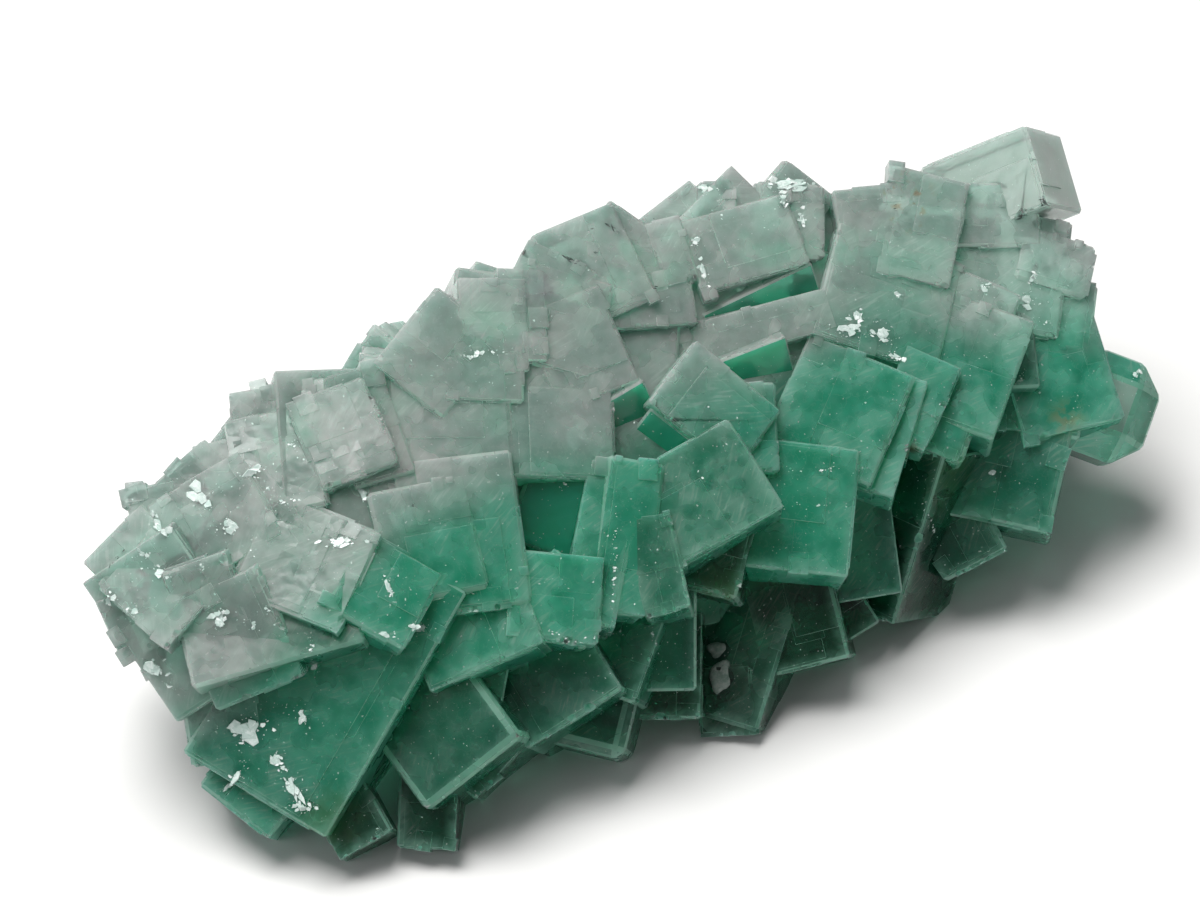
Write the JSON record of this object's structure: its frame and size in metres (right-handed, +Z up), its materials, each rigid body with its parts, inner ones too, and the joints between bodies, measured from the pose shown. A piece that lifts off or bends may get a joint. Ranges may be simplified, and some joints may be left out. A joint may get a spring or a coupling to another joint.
{
  "type": "cubic fluorite crystal cluster",
  "caption": "Elongated cluster of intergrown translucent cubes, green below and clear above, resting on a flat broken base.",
  "frame": {"origin": "middle of the bounding box's bottom, on the flat broken base", "axes": "+X along the cluster from the near, clear end to the far end, +Y from the growth face to the back, +Z up"},
  "size_m": [0.1168, 0.0656, 0.0406],
  "materials": {
    "crystal": "translucent green to clear crystal with satin, faintly stepped growth faces"
  },
  "bodies": {
    "root": {"crystal_cluster": "crystal"}
  },
  "joints": []
}
